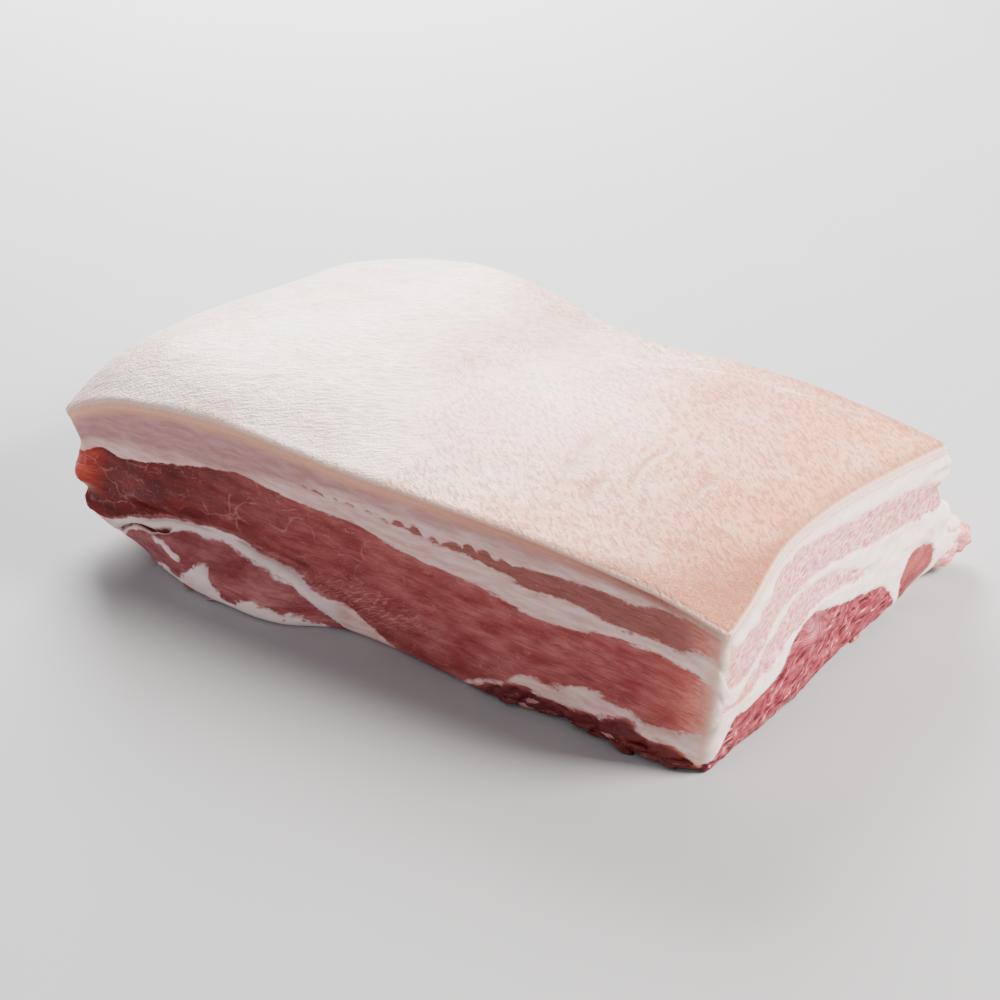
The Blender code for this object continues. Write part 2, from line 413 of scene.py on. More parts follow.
# Over turns: the height of the flap's rim, the lean's brightness, with painted glow towards the
# front right corner, and its paleness, the softness of its edges, the fat's creaminess, the foot's
# radius, and the brown and tan under the skin
FLAP_RIM = curve({
    0: -0.2, 0.05: -0.2, 0.1: -0.1, 0.13: 0.02, 0.16: 0.05, 0.2: 0.05, 0.219: 0.11, 0.236: 0.17,
    0.255: 0.165, 0.273: 0.09, 0.288: 0.045, 0.303: 0.05, 0.32: 0.085, 0.345: 0.095, 0.375: 0.075,
    0.405: 0.05, 0.43: -0.02, 0.46: -0.2, 0.5: -0.2, 4: -0.2})
LEAN_TONE = graph({
    0: 0.1, 0.05: 0, 0.15: 0.05, 0.3: 0.24, 0.42: 0.34, 0.55: 0.4, 0.7: 0.46, 0.86: 0.5,
    0.93: 0.64, 0.985: 1, 1.2: 0.6, 1.8: 0.22, 1.9: 0.26, 2.05: 0.4, 2.5: 0.2, 2.8: 0.1,
    3.2: 0.05, 4: 0.1})
# The lean's paleness on the right face: partly its own colour and partly painted light of that lit
# side
LEAN_PALE = graph({
    0: 0, 0.93: 0, 0.99: 0.3, 1.04: 0.9, 1.6: 0.95, 1.9: 0.75, 2.05: 0.3, 2.3: 0, 4: 0})
SOFTNESS = graph({
    0: 1, 0.3: 1.1, 0.5: 1.7, 0.7: 2.2, 0.95: 3, 1.1: 2.4, 2: 2, 2.3: 1.5, 3: 1.3, 4: 1})
# The fat's creaminess towards the right face: partly its own colour and partly painted light of that
# lit side
FAT_CREAM = graph({
    0: 0.05, 0.4: 0.1, 0.8: 0.2, 0.95: 0.35, 1: 0.75, 1.06: 1, 1.8: 1, 2: 0.9, 2.3: 0.55, 3: 0.4,
    3.8: 0.25, 4: 0.05})
FOOT_ROUND = graph({
    0: 2.4, 0.6: 2.2, 0.9: 2.6, 1: 2.6, 1.1: 4.5, 1.6: 5.2, 1.75: 6, 1.86: 9, 2: 10, 2.08: 6,
    2.3: 2.6, 4: 2.4})
EDGE_BROWN = graph({0: 0, 0.5: 0, 0.75: 0.45, 0.9: 1, 0.985: 0.8, 1: 0, 4: 0})
RIND_TAN = graph({0: 1, 0.9: 1, 0.97: 0.8, 1.03: 0.22, 1.8: 0.15, 2.1: 0.5, 2.4: 0.9, 4: 1})

# A pale strand down the flap's left end, in millimetres
STRAND_FROM = (28.5, 9.6)
STRAND_WAY = (0.996, -0.09)
STRAND_LONG = 15
STRAND_HALF = 0.8
# A small oval of lean low on the right
LENS_AT = (1.822, 0.19)
LENS_WAY = (0.8, 0.6)
LENS_HALF = (9.5, 5.4)
# Turns, levels and reaches of the coarse lean's whorl, the hairs and the flap's blob
WHORL_AT, WHORL_REACH = (1.41, 0.40), 5
HAZE_AT, HAZE_REACH = (0.5, 0.24), (17, 5.5)
BLOB_AT, BLOB_REACH = (0.248, 0.11), (5, 3)
# How far the edges wander, and the humps along the upper lean
WANDER = 0.45
SCALLOP, SCALLOP_STEP, SCALLOP_SPAN = 1.7, 5.3, (0.44, 0.68, 0.06)
FRONT_SPAN = (0, 1, 0.02)
COARSE_SPAN = (1, 1.765, 0.02)
RAGGED_SPAN = (0.7, 1.7, 0.05)
FLAP_SPAN = (0.15, 0.42, 0.03)
# The gap over the flap's left end, cut in and darkened with painted shade
GAP_SPAN, GAP_DEEP = (0.07, 0.15, 0.025), 3.2
SLANT, WHORL_SLANT = 0.32, 1.3      # how the coarse fibres lean, in radians
FLAP_FRAY = 0.45
RELIEF_FADES = (2.9, 5.5)           # the relief's fade, in millimetres under the rind


def near(turn, spot, reach):
    """A smooth bump round the slab, reach in turns."""
    gap = np.abs((turn - spot + 2) % 4 - 2)
    return bell(gap / reach)


def flap_lean(turn, level, tall, spots, lower_top):
    """How deep a place lies inside the lowest lean: the flap with its rim and its strand."""
    fray = 0.4 * noise(spots, 2.6, 19) + 0.3 * noise(spots, 1.3, 27)
    over_rim = (level - FLAP_RIM(turn)) * tall * FLAP_FRAY + fray
    lower = np.minimum((lower_top - level) * tall, over_rim)
    strand_run, strand_side = turned(turn * LENGTH - STRAND_FROM[0],
                                     level * tall - STRAND_FROM[1], STRAND_WAY)
    strand_side = strand_side + 0.7 * noise(spots, 4, 28)
    strand_part = np.clip(strand_run / STRAND_LONG, 0, 1)
    strand_half = STRAND_HALF * np.sin(math.pi * strand_part) ** 0.7 - 0.1
    strand_in = window(strand_run, 0, STRAND_LONG, 1) * (turn < 1)
    lower = np.where(strand_in > 0.5, np.minimum(lower, np.abs(strand_side) - strand_half), lower)
    long, wide = turned((turn - LENS_AT[0]) * DEPTH, (level - LENS_AT[1]) * tall, LENS_WAY)
    lens = LENS_HALF[1] * (1 - np.sqrt((long / LENS_HALF[0]) ** 2 + (wide / LENS_HALF[1]) ** 2))
    return np.maximum(lower, lens)


def corner_relief(turn, level, spots):
    """The steps of the back right corner, and the left end's bulge of lean, notch and knob."""
    steps = (1.4 * bell((level - 0.88) / 0.05) - 1.2 * bell((level - 0.66) / 0.07)
             + 1.6 * bell((level - 0.46) / 0.06) + 0.9 * noise(spots, 4, 18))
    end = (1.5 * window(level, 0.34, 0.6, 0.12) - 2.2 * bell((level - 0.2) / 0.08)
           + 0.5 * bell((level - 0.05) / 0.05) + 0.8 * window(level, 0.72, 0.86, 0.08))
    return near(turn, 2, 0.10) * steps + near(turn, 0, 0.04) * end


def cut_face(turn, up, tall, spots):
    """Layers of the cut faces: fields for the colours, and how far the surface stands out."""
    level = up + WANDER * rough(spots, (11, 11, 7), 3, 2) / tall
    upper_top, upper_foot, main_top = UPPER_TOP(turn), UPPER_FOOT(turn), MAIN_TOP(turn)
    main_foot, lower_top = MAIN_FOOT(turn), LOWER_TOP(turn)
    main = np.minimum(level - main_foot, main_top - level) * tall
    humps = turn * LENGTH / SCALLOP_STEP + 0.35 * noise(spots, (9, 9, 40), 14)
    scallop = SCALLOP * (1 - np.abs(np.sin(math.pi * humps))) * window(turn, *SCALLOP_SPAN)
    upper = np.minimum((level - upper_foot) * tall, (upper_top - level) * tall - scallop)
    lower = flap_lean(turn, level, tall, spots, lower_top)
    coarse = np.where(window(turn, *COARSE_SPAN) > 0.5, lower, -5)
    lean = np.maximum(np.maximum(main, upper), lower)
    under = (1 - up) * tall
    cap_foot = upper_top - 0.16 * (1 - ease(turn, 0.2, 0.5)) + 0.03 * noise(spots, (16, 16, 2.5), 29)
    lip = 0.9 * near(turn, 3.99, 0.03) * window(level, 0.28, 0.62, 0.08)
    lip += 0.35 * near(turn, 0.03, 0.02) * window(level, 0.35, 0.6, 0.12)
    whorl_y = (turn - WHORL_AT[0]) * DEPTH
    whorl_z = (level - WHORL_AT[1]) * tall
    whorl = np.exp(-(whorl_y**2 + whorl_z**2) / WHORL_REACH**2)

    # The way of the fibres: with the layers in front, slanting and whorled in the coarse lean
    across = (turn > 1) & (turn < 2)
    slant = np.where(across, SLANT + WHORL_SLANT * whorl, 0)
    run = np.where(across, whorl_y, np.where(turn > 3, spots[..., 1], spots[..., 0]))
    rise = (level - 0.5) * tall
    grain_a = run * np.cos(slant) + (rise - 5) * np.sin(slant)
    grain_b = rise * np.cos(slant) - run * np.sin(slant)
    grain = np.stack([grain_a, grain_b, 0.3 * spots[..., 1]], -1)

    # The relief: fat stands a little over lean, with fibres, lumps and strands on top
    inside = ease(lean, -0.25, 0.35)
    fibre = noise(grain, (6, 0.9, 5.5), 5) + 0.6 * noise(grain, (2.6, 0.55, 2.6), 6)
    lumps = noise(spots, (7, 7, 4), 7)
    coarse_in = ease(coarse, -0.3, 1.2)
    strands = noise(grain, (5, 1.5, 3), 8) + 0.6 * noise(grain, (2.6, 0.85, 2), 9)
    bundle = noise(spots, (4.5, 3.6, 3.2), 10)
    out = 0.35 * (1 - inside) + 0.13 * inside * fibre * (1 - coarse_in)
    out += (0.28 + 0.3 * (1 - window(turn, *FRONT_SPAN))) * lumps
    out += coarse_in * (0.42 * strands + 0.65 * bundle - 0.2)
    out -= 0.25 * bell(lean / 0.5)
    out += 0.07 * noise(spots, 1.3, 12)
    # The flap: the seam's band stands out over it, with a gap above the flap's own skin
    over_seam = (level - 0.5 * (lower_top + main_foot)) * tall
    on_flap = window(turn, *FLAP_SPAN)
    out += 0.7 * bell(over_seam / 1.3) * on_flap
    gap = bell((over_seam + 0.6) / 0.6) * window(turn, *GAP_SPAN)
    gap *= 1 + 0.3 * noise(spots, 2.5, 15)
    out -= GAP_DEEP * gap
    out -= 0.6 * bell(((level - lower_top) * tall + 0.3) / 0.6) * on_flap
    out += 0.9 * bell((turn - BLOB_AT[0]) * LENGTH / BLOB_REACH[0],
                      (level - BLOB_AT[1]) * tall / BLOB_REACH[1])
    haze = bell((turn - HAZE_AT[0]) * LENGTH / HAZE_REACH[0],
                (level - HAZE_AT[1]) * tall / HAZE_REACH[1])
    # Ragged meat along the bottom, worst at the front right and under the right face
    ragged = window(turn, *RAGGED_SPAN) * ease(lower, 0, 1.5)
    rags = noise(spots, (3.2, 3.2, 2.6), 16) + 0.5 * noise(spots, (1.6, 1.6, 1.4), 17)
    out += ragged * np.where(turn < 1, 1.1, 0.5) * rags
    out += corner_relief(turn, level, spots)
    out = out * ease(under, *RELIEF_FADES) - 0.04
    fields = dict(
        lean=lean / SOFTNESS(turn), coarse=coarse, cap=ease(level, cap_foot, cap_foot + 0.10),
        pale=LEAN_PALE(turn) * (1 - ease(lower, -0.3, 0.3)), tone=LEAN_TONE(turn),
        upper=ease(upper, -0.3, 0.3), cream=FAT_CREAM(turn), under=under, lip=lip,
        tan=RIND_TAN(turn), brown=EDGE_BROWN(turn), grain_a=grain_a, grain_b=grain_b,
        # The ragged meat along the front's bottom gets painted shade
        whorl=whorl, haze=haze, gap=gap, deep_lean=ragged * (turn < 1),
        web=window(turn, 0, 0.35, 0.4) * (lower < 0),
        flap=window(turn, 0.07, 0.43, 0.03) * (level < main_foot + 0.02),
        corner=near(turn, 1, 0.018) * (lower < 0), right=window(turn, 1.005, 2, 0.02))
    return fields, out


FLESH_STEPS = (0.55, 0.55, 0.85, 0.75)      # millimetres between vertices on each side
FOOT_ANGLES = (0, 12, 24, 36, 48, 60, 71, 81)
WALL_ROWS = 77
TUCKS = (0.8, 2.2)        # how far the two rows inside the rind are set in


def make_flesh(material):
    """The body of the slab: its four cut faces, its underside and its top inside the rind."""
    along, back, turn = ring_steps(*FLESH_STEPS)
    radius = FOOT_ROUND(turn)
    rows = []
    for angle in np.radians(FOOT_ANGLES):
        inset = radius * (1 - math.sin(angle))
        rows.append(ring_points(along, back, inset, up_mm=radius * (1 - math.cos(angle))))
    tall = rows[-1][2]
    bottom = radius / tall
    top = 1 - UNDER_RIND / tall
    rows += [ring_points(along, back, 0, up=bottom + (top - bottom) * step / WALL_ROWS)
             for step in range(WALL_ROWS + 1)]
    points, ups, talls = (np.stack(kind) for kind in zip(*rows))
    fields, out = cut_face(np.broadcast_to(turn, ups.shape), ups, talls, points)
    fade = ease(ups * talls, 0, radius)
    points = points + surface_normals(points, True) * (out * fade)[..., None]
    points[..., 2] = np.maximum(points[..., 2], 0)

    shape = Shape()
    block = shape.add(points, **fields)
    tuck = [ring_points(along, back, inset, up=top)[0] for inset in TUCKS]
    inner_fields = {name: np.stack([value[-1]] * 2) for name, value in fields.items()}
    inner = shape.add(np.stack(tuck), **inner_fields)
    shape.quads(np.concatenate([block, inner]), True)
    fill_loop(shape, inner[-1], tuck[-1], 6, 2.5, rind_height, UNDER_RIND, True,
              lean=-3, cream=0.5)
    fill_loop(shape, block[0], points[0], 4, 2, underside_height, 0, False,
              lean=-3, cream=0.5, under=40)
    return shape.to_object("flesh", material)


# ---- loose bits of meat

LOBE_ROWS, LOBE_COLUMNS = 19, 26
POLE_GAP = 0.08           # radians left open at each end of a lobe
# Lobes along the bottom: turns from and to, count, height, half sizes, share of fat, and share of
# painted shade
RAGGED_EDGES = ((0.70, 0.985, 26, 0.035, (3.8, 1.3, 1), 0.22, 1),
                (1.03, 1.70, 18, 0.05, (3.4, 1, 0.9), 0.1, 0),
                (0.13, 0.40, 12, 0.03, (3.6, 0.9, 0.8), 0.75, 0))
# The nub's lobes: back and up as fractions, half sizes, and depth in the lean
NUB_LOBES = ((0.975, 0.20, (5.8, 4, 3.9), 1), (0.93, 0.13, (5.2, 2.9, 2.8), 1),
             (0.985, 0.33, (4.8, 3.4, 2.5), -2))
NUB_INSET = (-2, -2.2, 0)
NUB_WAY = (0.35, 1, 0.1)
FAT_SHRINK = 0.6


def add_lobe(shape, middle, size, way, seed, **fields):
    """A small ragged lobe of meat: its middle, half sizes along, across and up, and its way."""
    polar = np.linspace(POLE_GAP, math.pi - POLE_GAP, LOBE_ROWS)[:, None]
    turn = np.linspace(0, 2 * math.pi, LOBE_COLUMNS, endpoint=False)[None, :]
    ball = np.stack([np.cos(polar) * np.ones_like(turn), np.sin(polar) * np.cos(turn),
                     np.sin(polar) * np.sin(turn)], -1)
    swell = 0.34 * noise(ball, 0.95, seed) + 0.2 * noise(ball, 0.45, seed + 1)
    points = ball * (1 + swell)[..., None] * np.array(size)
    run = np.array(way, dtype=float)
    run /= np.linalg.norm(run)
    side = np.cross((0, 0, 1), run)
    side /= np.linalg.norm(side)
    rise = np.cross(run, side)
    points = points[..., :1] * run + points[..., 1:2] * side + points[..., 2:] * rise
    points = points + np.array(middle)
    points[..., 2] = np.maximum(points[..., 2], 0.05)
    fields = {"grain_a": points @ run, "grain_b": points @ rise, "lean": 2, **fields}
    block = shape.add(points, under=40, coarse=-5, **fields)
    shape.quads(block[::-1], True)
    shape.faces.append(block[:1].copy())
    shape.faces.append(block[-1:, ::-1].copy())


def make_shreds(material):
    """Ragged lobes under the front right edge and the flap, and at the back right corner."""
    shape = Shape()
    dice = np.random.default_rng(5)
    for start, end, count, up, size, fat_share, dark in RAGGED_EDGES:
        for step in range(count):
            turn = start + (end - start) * (step + dice.uniform(0.1, 0.9)) / count
            height = up * dice.uniform(0.4, 1.7)
            if turn < 1:
                spot = place(turn, 0, height) + np.array((0, 0.7, 0.4))
                way = (1, dice.uniform(-0.25, 0.25), dice.uniform(-0.4, 0.3))
            else:
                inset = FOOT_ROUND(turn) * 0.5
                spot = place(1, turn - 1, height) + np.array((-inset, 0, 0.4))
                way = (dice.uniform(-0.25, 0.25), 1, dice.uniform(-0.2, 0.3))
            lobe = np.array(size) * dice.uniform(0.55, 1.3)
            if dice.uniform() < fat_share:
                add_lobe(shape, spot, lobe * FAT_SHRINK, way, 40 + step, lean=-2, cap=1)
            else:
                # Lean lobes take their row's share of painted shade
                add_lobe(shape, spot, lobe, way, 40 + step, tone=0.6, deep_lean=dark)
    for back, up, size, lean in NUB_LOBES:
        spot = place(1, back, up) + np.array(NUB_INSET)
        add_lobe(shape, spot, size, NUB_WAY, 70 + int(100 * back),
                 lean=lean, tone=1, cream=0.8, pale=0.6)
    return shape.to_object("shreds", material)


# ---- the rind

RIND_THICK = 3.1
RIM_ROUND = 1.7
RIM_DROP = 1.15
RIM_STEPS = (0, 0.12, 0.35, 0.7, 1.15)      # vertices in from the rim's edge
SKIN_STEP = 0.64          # and between the others
DENT_DEEP = 0.28
CREASE_HIGH = 0.16
SKIN_WAYS = (35, -39)     # degrees the wrinkles run at the left and at the right
SKIN_TURNS = (70, 130)    # millimetres along, over which one gives way to the other
TAN_BAND, TAN_CORNER = 9, 29                # the tan's reach along the rim and at the corner
# The cut edge from inside out and up: inset, depth under the skin, and share of the bumps
EDGE_ROWS = ((2, RIND_THICK, 0), (0.7, RIND_THICK, 0), (0.25, RIND_THICK - 0.05, 0.3),
             (0.06, RIND_THICK - 0.2, 0.6), (0, RIND_THICK - 0.6, 1), (0, 2.1, 1),
             (0, 1.7, 1), (0, 1.35, 0.6))
# Dents in the skin: place as fractions, length and width in millimetres, and way in degrees
DENTS = ((0.71, 0.262, 4, 2.6, 95), (0.756, 0.215, 6.5, 1.9, 92), (0.785, 0.35, 13, 1.1, 97),
         (0.867, 0.355, 6, 1.1, 93), (0.70, 0.36, 8, 2.2, 98))
# Long creases: places as fractions that each passes, drawn smooth between
CREASES = ({0.07: 0.705, 0.16: 0.742, 0.28: 0.775, 0.42: 0.80},
           {0.12: 0.60, 0.20: 0.61, 0.30: 0.64, 0.40: 0.66},
           {0.42: 0.485, 0.51: 0.516, 0.57: 0.522, 0.64: 0.515},
           {0.27: 0.70, 0.33: 0.715, 0.40: 0.71},
           {0.50: 0.84, 0.60: 0.862, 0.70: 0.90, 0.84: 0.93},
           {0.06: 0.50, 0.14: 0.48, 0.24: 0.51})
CREASE_HALF = 0.8


def skin_marks(part_x, part_y, spots):
    """Depth of the dents, and height of the creases, over the skin: both 0 to 1."""
    dents = np.zeros_like(part_x)
    for along, back, long, wide, way in DENTS:
        run, side = turned((part_x - along) * LENGTH, (part_y - back) * DEPTH, compass(way))
        side = side + 0.012 * run**2 + 0.6 * noise(spots, 5, 50)
        dents = np.maximum(dents, bell(run / long, side / wide))
    creases = np.zeros_like(part_x)
    for number, passes in enumerate(CREASES):
        gap = (part_y - curve(passes)(part_x)) * DEPTH + 1.2 * noise(spots, 14, 51 + number)
        ends = window(part_x, min(passes) + 0.03, max(passes) - 0.03, 0.05)
        creases = np.maximum(creases, bell(gap / CREASE_HALF) * ends)
    return dents, creases


def rind_relief(spots):
    """How far the rind's skin stands out: soft swells, and wrinkles one way at each end."""
    bent = spots + np.stack([3 * noise(spots, 17, seed) for seed in (20, 21, 22)], -1)
    out = 0.45 * noise(spots, 26, 25) + 0.12 * noise(bent, (9, 5, 30), 23)
    at_right = ease(spots[..., 0], *SKIN_TURNS)
    for way, share in zip(SKIN_WAYS, (1 - at_right, at_right)):
        run, side = turned(bent[..., 0], bent[..., 1], compass(way))
        flat = np.stack([run, side, 0 * run], -1)
        out = out + share * 0.10 * (1 - 2 * np.abs(noise(flat, (5.5, 1.9, 9), 24)))
    return out


def skin_steps(size):
    """Places across the skin, closer together at the rim."""
    ends = np.array(RIM_STEPS)
    middle = np.linspace(RIM_ROUND, size - RIM_ROUND, round((size - 2 * RIM_ROUND) / SKIN_STEP))
    return np.concatenate([ends, middle, size - ends[::-1]])


def rim_of(grid):
    """The outermost values of a grid, once round."""
    return np.concatenate([grid[0, :-1], grid[:-1, -1], grid[-1, :0:-1], grid[:0:-1, 0]])


def make_rind(material):
    """The skin: a sheet over the whole top with its cut edge showing all round."""
    across, deep = np.meshgrid(skin_steps(LENGTH), skin_steps(DEPTH))
    part_x, part_y = fractions(across, deep)
    points = place(part_x, part_y, np.ones_like(part_x))
    rim = np.minimum(np.minimum(across, LENGTH - across), np.minimum(deep, DEPTH - deep))
    over = np.clip((RIM_ROUND - rim) / RIM_ROUND, 0, 1)
    drop = RIM_DROP * (1 - np.sqrt(1 - over**2))
    dents, creases = skin_marks(part_x, part_y, points)
    out = rind_relief(points) * ease(rim, 0, 3) - DENT_DEEP * dents + CREASE_HIGH * creases
    points = points + surface_normals(points, False) * out[..., None]
    points[..., 2] -= drop
    # Pale at the left, lightened there with painted sheen, and warm towards the right
    warm = ease(part_x + 0.2 * noise(points, 45, 52), 0.2, 0.85)
    to_corner = np.hypot((1 - part_x) * LENGTH, part_y * DEPTH)
    tanned = 0.5 * (1 - ease(rim, 0, TAN_BAND)) * ease(part_x, 0.45, 0.9)
    tanned = np.clip(tanned + bell(to_corner / TAN_CORNER), 0, 1)
    shape = Shape()
    block = shape.add(points, under=drop, tan=1, warm=warm, dents=dents, creases=creases,
                      edge=tanned)
    shape.quads(block, False)

    edge_along = rim_of(across) / LENGTH
    edge_back = rim_of(deep) / DEPTH
    sides = [edge_back == 0, edge_along == 1, edge_back == 1]
    turn = np.select(sides, [edge_along, 1 + edge_back, 3 - edge_along], 4 - edge_back)
    rows = []
    for inset, depth, _ in EDGE_ROWS:
        tall = ring_points(edge_along, edge_back, inset, up=1)[2]
        rows.append(ring_points(edge_along, edge_back, inset, up=1 - depth / tall)[0])
    rows = np.stack(rows)
    depths, shown = np.array(EDGE_ROWS)[:, 1:].T[..., None]
    bump = 0.02 + np.maximum(0.08 * rough(rows, (6, 6, 3), 2, 30), 0)
    rows = rows + surface_normals(rows, True) * (bump * shown)[..., None]
    band = shape.add(rows, under=depths, tan=RIND_TAN(turn), brown=EDGE_BROWN(turn),
                     warm=ease(edge_along, 0.3, 0.95))
    shape.quads(np.concatenate([band, rim_of(block)[None]]), True)
    fill_loop(shape, band[0], rows[0], 6, 2.5, rind_height, RIND_THICK, False,
              under=RIND_THICK)
    return shape.to_object("rind", material)


# ---- materials

class Nodes:
    """A material's node tree, with short ways to add to it."""

    def __init__(self, name):
        self.material = bpy.data.materials.new(name)
        self.material.use_nodes = True
        self.tree = self.material.node_tree
        self.skin = self.tree.nodes["Principled BSDF"]
        middle = self.tree.nodes.new("ShaderNodeTexCoord")
        grow = self.tree.nodes.new("ShaderNodeVectorMath")
        grow.operation = "SCALE"
        self.fill(grow, {0: middle.outputs["Object"], "Scale": 1 / MM})
        self.spot = grow.outputs["Vector"]

    def put(self, socket, value):
        """Links a socket to a value's output or a field of that name, or sets it to the value."""
        if isinstance(value, str):
            value = self.field(value)
        if isinstance(value, bpy.types.NodeSocket):
            self.tree.links.new(value, socket)
        elif isinstance(value, tuple) and len(value) == 3 and socket.type == "RGBA":
            socket.default_value = (*value, 1)
        else:
            socket.default_value = value

    def fill(self, node, values):
        """Links or sets a node's sockets, given by name or number."""
        for key, value in values.items():
            self.put(node.inputs[key], value)

    def math(self, operation, *values):
        node = self.tree.nodes.new("ShaderNodeMath")
        node.operation = operation
        self.fill(node, dict(enumerate(values)))
        return node.outputs[0]

    def times(self, first, second):
        return self.math("MULTIPLY", first, second)

    def shift(self, value, size):
        """Brings a value of 0 to 1 to within half a size of 0."""
        return self.math("MULTIPLY_ADD", value, size, -size / 2)

    def field(self, name):
        node = self.tree.nodes.new("ShaderNodeAttribute")
        node.attribute_name = name
        return node.outputs["Fac"]

    def join(self, *values):
        node = self.tree.nodes.new("ShaderNodeCombineXYZ")
        self.fill(node, dict(enumerate(values)))
        return node.outputs[0]

    def stretch(self, cells, way=0, spot=None):
        """Places in cells of the given sizes in millimetres, turned first by some degrees."""
        node = self.tree.nodes.new("ShaderNodeMapping")
        node.vector_type = "TEXTURE"
        turn = (0, 0, math.radians(way))
        self.fill(node, {"Vector": spot or self.spot, "Rotation": turn, "Scale": cells})
        return node.outputs["Vector"]

    def texture(self, place_at, detail, roughness=0.5, distortion=0):
        node = self.tree.nodes.new("ShaderNodeTexNoise")
        self.fill(node, {"Vector": place_at, "Scale": 1, "Detail": detail,
                         "Roughness": roughness, "Distortion": distortion})
        return node

    def noise(self, cells, detail=3, roughness=0.5, distortion=0, way=0, spot=None):
        """Cloudy noise with cells of the given sizes in millimetres, 0 to 1."""
        place_at = self.stretch(cells, way, spot)
        return self.texture(place_at, detail, roughness, distortion).outputs["Fac"]

    def web(self, cell, warp):
        """Distance to the nearest wall of a foam of bent cells, in cells."""
        bend = self.tree.nodes.new("ShaderNodeVectorMath")
        bend.operation = "MULTIPLY_ADD"
        swirl = self.texture(self.stretch((0.6 * cell,) * 3), 2)
        self.fill(bend, {0: swirl.outputs["Color"], 1: (warp, warp, warp),
                         2: self.stretch((cell, cell, 0.8 * cell))})
        foam = self.tree.nodes.new("ShaderNodeTexVoronoi")
        foam.feature = "DISTANCE_TO_EDGE"
        self.fill(foam, {"Vector": bend.outputs["Vector"], "Scale": 1})
        return foam.outputs["Distance"]

    def ease(self, value, low, high, start=0, end=1):
        """A smooth step of the value from start to end."""
        node = self.tree.nodes.new("ShaderNodeMapRange")
        node.interpolation_type = "SMOOTHSTEP"
        self.fill(node, {"Value": value, "From Min": low, "From Max": high,
                         "To Min": start, "To Max": end})
        return node.outputs["Result"]

    def mix(self, amount, first, second, blend="MIX"):
        """A colour between two others."""
        node = self.tree.nodes.new("ShaderNodeMix")
        node.data_type = "RGBA"
        node.blend_type = blend
        self.fill(node, {0: amount, 6: first, 7: second})
        return node.outputs[2]

    def finish(self, colour, roughness, height, distance, strength, settings):
        """Fills the surface's sockets, with bumps of a distance in millimetres."""
        node = self.tree.nodes.new("ShaderNodeBump")
        self.fill(node, {"Strength": strength, "Distance": distance * MM, "Height": height})
        self.fill(self.skin, {"Base Color": colour, "Roughness": roughness,
                              "Normal": node.outputs["Normal"]})
        self.fill(self.skin, dict(zip(SKIN_SOCKETS, settings)))
        return self.material


# Colours. A pair is the dark and the light end of a cloudy mix
EDGE_BAND = (0.86, 0.34, 0.22), (0.97, 0.52, 0.37)
EDGE_DARK = (0.38, 0.115, 0.088)
LEAN_DARK = (0.1, 0.002, 0.003), (0.2, 0.009, 0.01)
LEAN_MIDDLE = (0.33, 0.05, 0.052), (0.52, 0.15, 0.145)
# The salmon lean at the front right corner: its own colour, lightened with painted glow of light
# shining through from behind
LEAN_BRIGHT_AND_GLOW = (0.66, 0.11, 0.08), (0.82, 0.24, 0.18)
LEAN_UPPER = (0.27, 0.075, 0.062), (0.4, 0.15, 0.13)
LEAN_FLAP = (0.44, 0.085, 0.1), (0.7, 0.27, 0.28)
LEAN_END = (0.5, 0.012, 0.006), (0.85, 0.12, 0.05)
# The pale pink lean of the right face, partly painted light of that lit side
LEAN_PALE_AND_LIT = (0.6, 0.17, 0.17), (0.94, 0.6, 0.58)
LEAN_COARSE = (0.07, 0.002, 0.006), (0.3, 0.04, 0.06)
# Painted shade: the ragged meat's red, darkened as if in deep shadow under the slab
LEAN_RAGGED_SHADED = (0.045, 0.004, 0.005), (0.17, 0.015, 0.018)
STRAND_PALE = (0.76, 0.36, 0.39)
WHORL_PALE = (0.52, 0.22, 0.24)
FIBRE_SHADE = (0.45, 0.36, 0.36)
# Painted highlight: the colour of the fine wet glints scattered over the lean
PAINTED_GLINT = (0.75, 0.5, 0.48)
HAIR = (0.74, 0.38, 0.36)
MARBLE = (0.7, 0.34, 0.32)
# Painted shade: the colour laid into the gap over the flap's left end
GAP_PAINTED_SHADE = (0.16, 0.015, 0.018)
FAT_CAP = (0.42, 0.17, 0.175), (0.56, 0.27, 0.27)
FAT_SEAM = (0.68, 0.34, 0.32), (0.92, 0.61, 0.58)
# Cream fat of the right face, partly painted light of that lit side
FAT_RIGHT_PALE_AND_LIT = (0.9, 0.64, 0.58), (0.96, 0.84, 0.79)
# Pale fat over the flap, brightened with painted light
FAT_FLAP_PALE_AND_LIT = (1, 0.8, 0.78)
FAT_CORNER = (0.91, 0.46, 0.36), (0.95, 0.8, 0.73)
# The pale pink skin at the left, lightened with painted sheen
SKIN_COOL_AND_SHEEN = (0.94, 0.72, 0.64), (0.98, 0.85, 0.8)
SKIN_WARM = (0.84, 0.32, 0.16), (0.94, 0.46, 0.26)
SKIN_BLUSH = (0.9, 0.5, 0.41)
# Painted shade: the darkening laid along the grooves of the skin's wrinkles
SKIN_GROOVE_SHADE = (0.58, 0.38, 0.3)
# The dents' own tan, deepened with painted shade
SKIN_DENT_TAN_AND_SHADE = (0.6, 0.27, 0.15)
SKIN_CREASE = (0.95, 0.84, 0.76)
SKIN_TAN = (0.42, 0.12, 0.045)
SKIN_SIDE = (0.93, 0.72, 0.62), (0.96, 0.82, 0.74)
# The rim's own cream, brightened with a painted highlight of light catching its rounded edge
SKIN_LIP_CREAM_AND_HIGHLIGHT = (1, 0.68, 0.58)
FLOOR_GREY = (0.4, 0.4, 0.41), (0.43, 0.43, 0.44)

